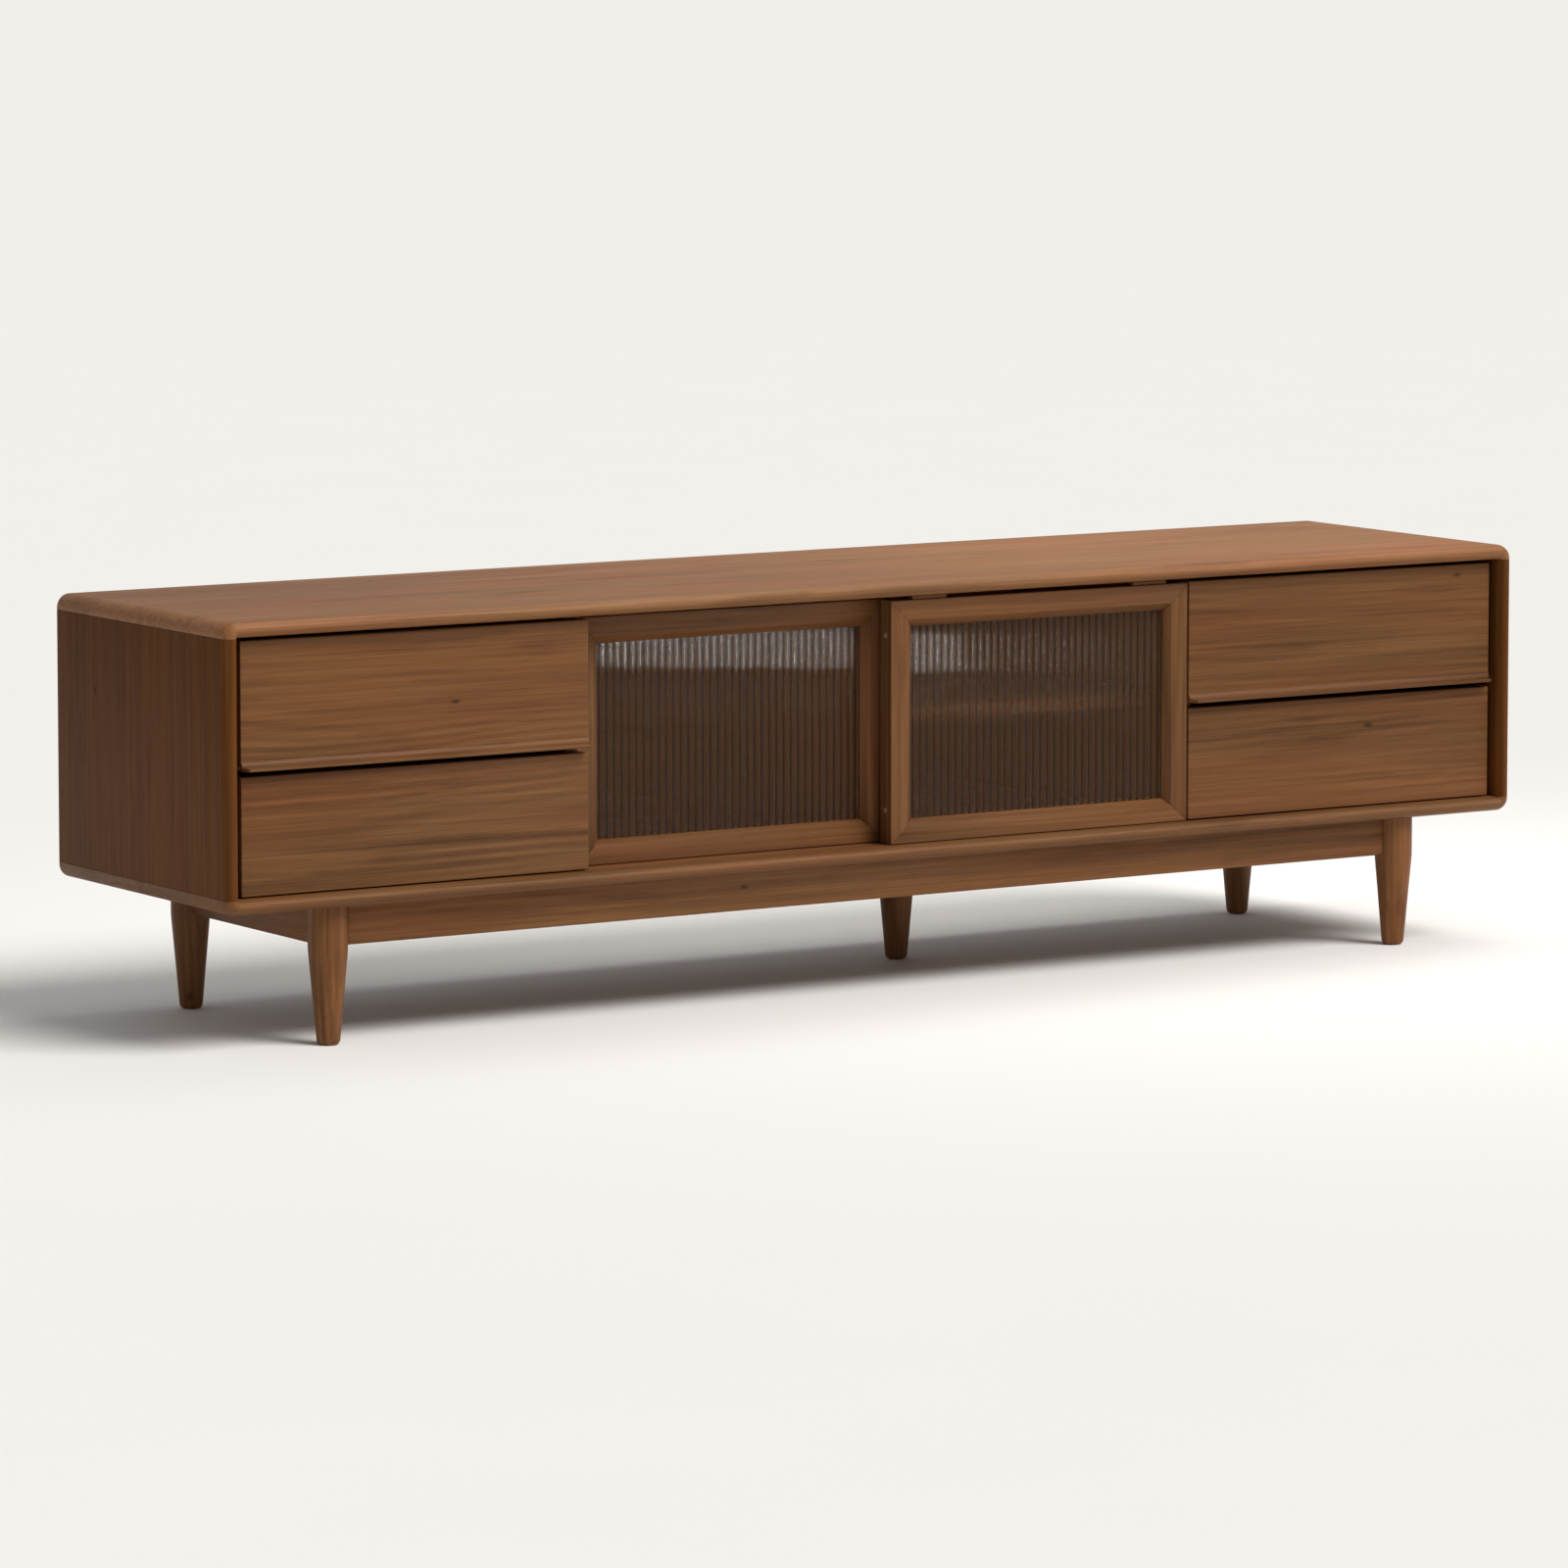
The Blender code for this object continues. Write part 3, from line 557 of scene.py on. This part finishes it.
def turned(name, profile, centre, axis, body, slot, material, grain="ZXY", segments=24, stands_for=()):
    """A turned piece: (radius, height) points swung round an axis through a centre, as rings."""
    profile = np.asarray(profile, float)
    angle = np.linspace(0, 2 * np.pi, segments + 1)[:-1]
    radius, height = profile[:, :1], profile[:, 1:] + 0 * angle
    local = {"u": radius * np.cos(angle), "v": radius * np.sin(angle), "w": height}
    keys = {"X": "wuv", "Y": "vwu", "Z": "uvw"}[axis]
    rings = np.stack([local[key] for key in keys], axis=-1) + np.asarray(centre, float)
    skin(name, rings, body, material, grain, stands_for)


def shelf_pins():
    """Four steel pins with a round collar, two in the partition and two in the divider."""
    low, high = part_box("shelf")
    radius, collar = 0.0025, 0.0045
    profile = [
        (0.0003, -0.0040),
        (radius, -0.0038),
        (radius, 0.0),
        (collar, 0.0002),
        (collar, 0.0014),
        (radius, 0.0016),
        (radius, 0.0078),
        (radius - 0.0006, 0.0084),
        (0.0003, 0.0085),
    ]
    for side, x, hand in (("left", low.x, 1), ("right", high.x, -1)):
        for row, y in (("front", low.y + 0.05), ("back", high.y - 0.05)):
            mirrored = [(r, hand * h) for r, h in profile]
            place = (x, y, low.z - radius)
            turned(f"shelf_pin_{row}_{side}", mirrored, place, "X", "case", "runner_steel", zinc)


def hoop(name, section, centre, body, material, segments=64):
    """A closed section of (radius, depth) points swung round an axis along Y, joined end to end."""
    angle = np.linspace(0, 2 * np.pi, segments + 1)
    x = centre[0] + section[None, :, 0] * np.cos(angle)[:, None]
    z = centre[2] + section[None, :, 0] * np.sin(angle)[:, None]
    y = centre[1] + section[None, :, 1] + 0 * x
    rings = np.stack([x, y, z], axis=-1)[:-1]
    rows, columns = rings.shape[:2]
    row, column = np.meshgrid(np.arange(rows), np.arange(columns), indexing="ij")
    next_row, next_column = (row + 1) % rows, (column + 1) % columns
    quads = np.stack(
        [
            row * columns + column,
            row * columns + next_column,
            next_row * columns + next_column,
            next_row * columns + column,
        ],
        axis=-1,
    ).reshape(-1, 4)
    mesh = bpy.data.meshes.new(name)
    mesh.from_pydata(rings.reshape(-1, 3), [], quads.tolist())
    shape = bmesh.new()
    shape.from_mesh(mesh)
    bmesh.ops.recalc_face_normals(shape, faces=shape.faces)
    shape.to_mesh(mesh)
    shape.free()
    mesh.shade_smooth()
    mesh.set_sharp_from_angle(angle=math.radians(40))
    finish_piece(name, mesh, body, material, "XYZ")


def back_and_grommets():
    """The CAD back keeps its shape and cable holes; a soft black ring lines each hole."""
    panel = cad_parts["back_panel"]
    panel.data.materials.clear()
    panel.data.materials.append(wood("walnut_veneer", pale_and_top_lit_tones, 0.8, 0.14, "XZY"))
    low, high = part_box("back_panel")
    recipe = Recipe("soft_black")
    spot = recipe.add("TexCoord", output=3)
    dimple = recipe.add("TexNoise", None, {"Vector": spot, "Scale": 900.0, "Detail": 2.0})
    bloom = recipe.add("TexNoise", None, {"Vector": spot, "Scale": 40.0, "Detail": 3.0})
    shade = recipe.add(
        "ValToRGB", {"stops": ((0.3, (0.016, 0.015, 0.014)), (0.8, (0.035, 0.033, 0.031)))}, {0: bloom}
    )
    bump = recipe.add("Bump", None, {"Strength": 0.3, "Distance": 0.0002, "Height": dimple})
    recipe.feed(recipe.surface, {"Base Color": shade, "Roughness": 0.5 + 0.2 * bloom, "Normal": bump})
    hole = 0.025
    drop = 0.045
    depth = (high.y - low.y) / 2
    bead = 0.0022
    lip = hole + 0.004
    for side, x in (("left", -1), ("right", 1)):
        centre = (x * bay_edge / 2, (low.y + high.y) / 2, case_roof - drop)
        ring = filleted(
            [
                (hole - 0.0025, -depth - bead),
                (lip, -depth - bead),
                (lip, -depth - 0.0001),
                (hole - 0.0004, -depth - 0.0001),
                (hole - 0.0004, depth + 0.0001),
                (lip, depth + 0.0001),
                (lip, depth + bead),
                (hole - 0.0025, depth + bead),
            ],
            [0.001, 0.0015, 0.0003, 0, 0, 0.0003, 0.0015, 0.001],
        )
        hoop("cable_grommet_" + side, ring, centre, "case", recipe.material)


def screw_head(name, centre, axis, hand, body, radius=0.0036):
    """A pan head with a round recess: one profile from the rim over the dome and into the recess."""
    dome = arc((0, 0), (radius, radius * 0.45), 0, 65, 8)
    recess = radius * 0.30
    profile = [(0.0002, 0), (radius, 0), *dome[1:], (recess, radius * 0.36)]
    profile += [(recess * 0.8, radius * 0.10), (0.0002, radius * 0.08)]
    mirrored = [(r, hand * h) for r, h in profile]
    turned(name, mirrored, centre, axis, body, "runner_steel", brass, segments=16)


def back_screws():
    """Screws round the edge of the back, one row along the top and one along the bottom."""
    low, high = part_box("back_panel")
    places = np.linspace(low.x + 0.03, high.x - 0.03, 9)
    for row, z in (("top", high.z - 0.010), ("bottom", low.z + 0.010)):
        for number, x in enumerate(places):
            screw_head(f"back_screw_{row}_{number}", (x, high.y, z), "Y", 1, "case")


shelf_pins()
back_and_grommets()
back_screws()

# ---- Base: legs and aprons -------------------------------------------------------------------------
# Legs turned from solid walnut, straight where the aprons are dowelled into them and tapered below to
# a rounded foot. The aprons are straight boards just under the case.

# Painted light: a lighter copy of the walnut for the legs and aprons, which lifts them out of the shade
# under the case.
base_lit_tones = ((0.064, 0.023, 0.007), (0.177, 0.074, 0.026), (0.298, 0.136, 0.056))
base_lit_walnut = wood("base_lit_walnut", base_lit_tones, 0.85)


def tapered_leg(node):
    """A turned leg: radius constant to the apron's lower edge, then straight taper, then an ellipse."""
    low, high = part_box(node)
    centre = ((low.x + high.x) / 2, (low.y + high.y) / 2, 0)
    radius = (high.x - low.x) / 2
    taper_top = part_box("apron_front")[0].z
    floor_radius = 0.0131
    rounding = 0.0062
    ease = 0.001
    blend_out = 0.004
    blend_down = 0.006
    tip = 0.0005
    slope = (radius - floor_radius) / taper_top
    foot = floor_radius + slope * rounding
    profile = np.concatenate(
        [
            [(tip, high.z), (radius - ease, high.z), (radius, high.z - ease)],
            [(radius, taper_top), (radius - slope * blend_out, taper_top - blend_down)],
            arc((foot - rounding, rounding), (rounding, rounding), 0, -90, 10),
            [(tip, 0.0)],
        ]
    )
    turned(node + "_turned", profile, centre, "Z", "case", "walnut", base_lit_walnut, "ZXY", 56, [node])


for corner_leg in ("leg_front_left", "leg_front_right", "leg_back_left", "leg_back_right", "centre_leg"):
    tapered_leg(corner_leg)
for apron, apron_grain in (("front", "XZY"), ("back", "XZY"), ("left", "YZX"), ("right", "YZX")):
    plank("apron_board_" + apron, "apron_" + apron, apron_grain, base_lit_walnut, edge=0.0018)

# ---- Drawers ---------------------------------------------------------------------------------------
# Walnut fronts, the upper one of each pair with a lip that flares out as a pull and a finger cove
# under it. Behind each is a box of light wood on steel runners, half on the case, half on the box.

beech_tones = ((0.200, 0.120, 0.058), (0.420, 0.285, 0.155), (0.560, 0.420, 0.260))
drawer_names = [f"drawer_{row}_{side}" for row in ("upper", "lower") for side in ("left", "right")]


def lipped_front(drawer):
    """An upper front: section with a hollow flare, a thin lip and a cove, its lip ends slanted."""
    low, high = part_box(drawer + "_front")
    reach = face - low.y
    flare_top, flare_drop = 0.0115, 0.0080
    lip_slant, slant_run = 0.0045, 0.0055
    chamfer = 0.0015
    flare = arc((low.y, low.z + flare_top), (reach, flare_drop), 0, -90, 10)
    cove_half, cove_depth, cove_setback = 0.0100, 0.0065, 0.0015
    cove_radius = (cove_half**2 + cove_depth**2) / (2 * cove_depth)
    swing = math.degrees(math.asin(cove_half / cove_radius))
    cove_centre = (face + cove_setback, low.z + cove_depth - cove_radius)
    cove = arc(cove_centre, (cove_radius, cove_radius), 90 + swing, 90 - swing, 12)
    corners = np.concatenate(
        [[(high.y, high.z), (face, high.z)], flare, [(low.y + chamfer, low.z)], cove, [(high.y, low.z)]]
    )
    radii = np.zeros(len(corners))
    lip_edge = 1 + len(flare)
    radii[[0, 1, -1]] = 0.001, 0.0016, 0.001
    radii[[lip_edge, lip_edge + 1]] = 0.0012, 0.0007
    outline = filleted(corners, radii)
    rings = carried(outline, (low.x, high.x), "YZX", 0.0006, steps=4)
    slanted = rings[4:6].copy()
    slanted[:, :, 0] += np.array([[lip_slant], [-lip_slant]])
    rings = np.concatenate([rings[:5], slanted, rings[5:]])
    from_end = np.minimum(rings[..., 0] - low.x, high.x - rings[..., 0])
    rings[..., 1] = np.maximum(rings[..., 1], face - reach * np.minimum(from_end / slant_run, 1))
    skin(drawer + "_lipped_front", rings, drawer, walnut, "XZY", [drawer + "_front"])


def box_material(name, turned_axes):
    """Plain light wood, with a quiet figure, for the drawer boxes."""
    return wood(name, beech_tones, 0.45, None, turned_axes)


box_woods = {grain: box_material("light_wood_" + grain.lower(), grain) for grain in ("YZX", "XZY", "XYZ")}


def drawer_box(drawer):
    """The sides, back and bottom keep their CAD shapes and grooves, and take light wood."""
    grains = {"side_left": "YZX", "side_right": "YZX", "back": "XZY", "bottom": "XYZ"}
    for part, grain in grains.items():
        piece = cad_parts[f"{drawer}_{part}"]
        piece.data.materials.clear()
        piece.data.materials.append(box_woods[grain])


def runner(drawer, side, hand):
    """A slide: the channel on the case, and inside it the rail that is screwed to the drawer side."""
    low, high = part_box(f"{drawer}_runner_{side}")
    wall, deep = (low.x, high.x) if hand > 0 else (high.x, low.x)
    sheet, returned, play = 0.0015, 0.006, 0.001
    half = [
        (wall, low.z),
        (deep, low.z),
        (deep, low.z + returned),
        (deep - hand * sheet, low.z + returned),
        (deep - hand * sheet, low.z + sheet),
        (wall + hand * sheet, low.z + sheet),
    ]
    middle = low.z + high.z
    channel = half + [(x, middle - z) for x, z in reversed(half)]
    radii = [0.0016, 0.0016, 0.0004, 0.0004, 0.0008, 0.0008]
    outline = filleted(channel, radii + radii[::-1])
    rings = carried(outline, (low.y, high.y), "XZY", 0.0002, steps=2)
    node = f"{drawer}_runner_{side}"
    skin(node + "_channel", rings, "case", zinc, "YZX", [node])

    drawer_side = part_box(f"{drawer}_side_{side}")
    touch = drawer_side[0].x if hand > 0 else drawer_side[1].x
    rail_depth = 0.0040
    front_gap, back_gap = 0.001, 0.012
    inner = wall + hand * rail_depth
    lip_low, lip_high = low.z + returned + play, high.z - returned - play
    rail = filleted(
        [(touch, lip_low), (touch, lip_high), (inner, lip_high - 0.001), (inner, lip_low + 0.001)],
        [0.0004, 0.0004, 0.0015, 0.0015],
    )
    rings = carried(rail, (low.y + front_gap, high.y - back_gap), "XZY", 0.0003, steps=2)
    skin(f"{drawer}_rail_{side}", rings, drawer, zinc, "YZX")


for drawer in drawer_names:
    if "upper" in drawer:
        lipped_front(drawer)
    else:
        plank(drawer + "_plain_front", drawer + "_front", "XZY", body=drawer, edge=0.0014)
    drawer_box(drawer)
    runner(drawer, "left", 1)
    runner(drawer, "right", -1)

# ---- Sliding doors ---------------------------------------------------------------------------------
# Mitred walnut frames with a wide inner bevel round a pane of brown-tinted glass, fluted upright on
# its face. Two guide blocks stand on each top edge, and small buffers sit in the closing edge. The
# guides' tongues reach into the top board, whose grooves for them are not drawn.

bevel = 0.008


def frame_member(door, part, member_low, low_neighbour, high_neighbour):
    """A stile or rail: its section drawn from the outer edge inwards, and its ends cut as mitres."""
    node = f"{door}_{part}"
    low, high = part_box(node)
    along, across = ("Z", "X") if "stile" in part else ("X", "Z")
    u, w = "XYZ".index(across), "XYZ".index(along)
    width = high[u] - low[u]
    outer, inward = (low[u], 1) if member_low else (high[u], -1)
    groove_front, groove_back, groove_depth = 0.0090, 0.0146, 0.006
    thick = high.y - low.y
    section = np.array(
        [
            (0, 0),
            (width - bevel, 0),
            (width, bevel),
            (width, groove_front),
            (width - groove_depth, groove_front),
            (width - groove_depth, groove_back),
            (width, groove_back),
            (width, thick),
            (0, thick),
        ]
    )
    soft = filleted(section, [0.0015, 0.0006, 0.0004, 0.0002, 0, 0, 0.0003, 0.001, 0.0012])
    outline = np.stack([outer + inward * soft[:, 0], low.y + soft[:, 1]], axis=1)
    cuts = soft[:, 0] * low_neighbour / width, soft[:, 0] * high_neighbour / width
    rings = carried(outline, (low[w], high[w]), across + "Y" + along, 0.0002, cuts, 2)
    skin(node + "_moulded", rings, door, walnut, along + across + "Y", [node])


def reeded_glass():
    """Glass with a warm tint under a thin brown smoke, made denser and darker between its flutes as
    painted shade.

    How deep a point lies behind the crests is read from the through part of the grain attribute,
    which is negative on the fluted face. Part of the light goes straight through the pane.
    """
    recipe = Recipe("reeded_glass")
    spot = recipe.add("TexCoord", output=3)
    haze = recipe.add("TexNoise", None, {"Vector": spot, "Scale": 22.0, "Detail": 3.0})
    wave = recipe.add("Mapping", None, {"Vector": spot, "Scale": (160, 160, 9)})
    ripple = recipe.add("TexNoise", None, {"Vector": wave, "Scale": 1.0, "Detail": 2.0})
    bump = recipe.add("Bump", None, {"Strength": 0.06, "Distance": 0.0002, "Height": ripple})
    place = recipe.add("Attribute", {"attribute_name": "grain"}, output=1)
    through = recipe.add("SeparateXYZ", None, {0: place}, output=2)
    crest_level, valley_level = -0.0024, -0.0018
    # valley runs from 0 on the crests to 1 in the hollows between flutes, where shade is painted.
    valley = through.ramp(crest_level, valley_level) * (1 - (through > 0.0))
    clear = recipe.add(
        "ValToRGB", {"stops": ((0.3, (0.98, 0.74, 0.50)), (0.7, (1.0, 0.80, 0.56)))}, {0: haze}
    )
    # Painted shade: a dark brown that the glass takes in the hollows between flutes.
    valley_painted_shade = (0.24, 0.14, 0.08, 1)
    shade = recipe.add(
        "Mix", {"data_type": "RGBA"}, {0: valley * 0.8, 6: clear, 7: valley_painted_shade}, output=2
    )
    # The glass is also less clear in the valleys, which darkens them as painted shade.
    recipe.feed(
        recipe.surface,
        {
            "Base Color": shade,
            "Roughness": 0.02 + 0.02 * haze,
            "Normal": bump,
            "IOR": 1.37,
            "Transmission Weight": 1.0,
            "Specular IOR Level": 0.05,
            "Alpha": 0.42 + 0.30 * valley,
        },
    )
    # The smoke's colour: its own brown tint on the crests, and painted shade near black in the valleys.
    smoke_and_shade_tone = recipe.add(
        "Mix",
        {"data_type": "RGBA"},
        {0: valley, 6: (0.160, 0.068, 0.022, 1), 7: (0.016, 0.008, 0.004, 1)},
        output=2,
    )
    smoke_and_shade_layer = recipe.add(
        "BsdfPrincipled",
        None,
        {"Base Color": smoke_and_shade_tone, "Roughness": 0.4, "Specular IOR Level": 0.05, "Normal": bump},
    )
    # The smoke covers the crests thinly and lies thicker in the valleys as painted shade.
    crest_smoke, painted_shade_in_valleys = 0.15, 0.50
    smoked_and_shaded = recipe.add("MixShader", None, {0: crest_smoke + painted_shade_in_valleys * valley, 2: smoke_and_shade_layer})
    recipe.tree.links.new(recipe.surface.outputs["BSDF"], smoked_and_shaded.socket.node.inputs[1])
    recipe.tree.links.new(smoked_and_shaded.socket, recipe.tree.nodes["Material Output"].inputs["Surface"])
    return recipe.material


glass = reeded_glass()


def fluted_pane(door):
    """The pane: its face is a row of round flutes, y = crest + height * (1 - sqrt of a circle arc)."""
    low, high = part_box(door + "_glass")
    pitch, depth, samples, bulge = 0.010, 0.0012, 10, 0.80
    count = round((high.x - low.x) / pitch)
    place = np.linspace(0, count, count * samples + 1)
    across = (place % 1) * 2 - 1
    drop = 1 - np.sqrt(1 - (bulge * across) ** 2)
    full_drop = 1 - math.sqrt(1 - bulge**2)
    y = low.y + depth * drop / full_drop
    x = low.x + (high.x - low.x) * place / count
    face_side = np.stack([x, y], axis=1)
    outline = np.concatenate([face_side, [(high.x, high.y), (low.x, high.y)]])
    z = np.array([low.z, high.z])
    rings = np.stack([np.column_stack([outline, np.full(len(outline), level)]) for level in z])
    skin(door + "_fluted_pane", rings, door, glass, "ZXY", [door + "_glass"], 60)


def guide(door, side):
    """A guide block with its tongue, sawn from walnut and softened at the corners."""
    node = f"{door}_guide_{side}"
    low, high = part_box(node)
    middle, wide, narrow = (low.y + high.y) / 2, (high.y - low.y) / 2, 0.004
    shoulder = case_roof - 0.0003
    corners = [
        (middle - wide, low.z),
        (middle + wide, low.z),
        (middle + wide, shoulder),
        (middle + narrow, shoulder),
        (middle + narrow, high.z),
        (middle - narrow, high.z),
        (middle - narrow, shoulder),
        (middle - wide, shoulder),
    ]
    outline = filleted(corners, [0.0004, 0.0004, 0.0012, 0.0002, 0.001, 0.001, 0.0002, 0.0012])
    rings = carried(outline, (low.x, high.x), "YZX", 0.00025)
    skin(node + "_block", rings, door, walnut, "XZY", [node])


def vinyl():
    """Soft vinyl, a dull brown, with a fine matt skin."""
    recipe = Recipe("buffer_vinyl")
    spot = recipe.add("TexCoord", output=3)
    skin_noise = recipe.add("TexNoise", None, {"Vector": spot, "Scale": 1800.0, "Detail": 2.0})
    bump = recipe.add("Bump", None, {"Strength": 0.2, "Distance": 0.0001, "Height": skin_noise})
    shade = recipe.add(
        "ValToRGB", {"stops": ((0.3, (0.16, 0.12, 0.09)), (0.7, (0.22, 0.17, 0.13)))}, {0: skin_noise}
    )
    recipe.feed(recipe.surface, {"Base Color": shade, "Roughness": 0.3 + 0.1 * skin_noise, "Normal": bump})
    return recipe.material


def buffers(door, hand):
    """Two soft buffers on the edge where this door passes the other: low domes."""
    name = "stile_left" if hand < 0 else "stile_right"
    low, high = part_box(f"{door}_{name}")
    x = low.x if hand < 0 else high.x
    radius = 0.0035
    dome = arc((0, 0), (radius, 0.0014), 0, 86, 8)
    profile = [(0.0002, -0.0004), (radius, -0.0004), *dome]
    for row, z in (("top", high.z - 0.041), ("bottom", low.z + 0.040)):
        place = (x, (low.y + high.y) / 2 + 0.0010, z)
        mirrored = [(r, hand * h) for r, h in profile]
        turned(f"{door}_buffer_{row}", mirrored, place, "X", door, "fluted_glass", buffer_vinyl)


buffer_vinyl = vinyl()
for door, closing_hand in (("door_left", 1), ("door_right", -1)):
    stile, top_rail, bottom_rail = (
        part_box(door + "_stile_left")[1].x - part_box(door + "_stile_left")[0].x,
        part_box(door + "_rail_top")[1].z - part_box(door + "_rail_top")[0].z,
        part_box(door + "_rail_bottom")[1].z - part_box(door + "_rail_bottom")[0].z,
    )
    frame_member(door, "stile_left", True, bottom_rail, top_rail)
    frame_member(door, "stile_right", False, bottom_rail, top_rail)
    frame_member(door, "rail_top", False, stile, stile)
    frame_member(door, "rail_bottom", True, stile, stile)
    fluted_pane(door)
    guide(door, "left")
    guide(door, "right")
    buffers(door, closing_hand)
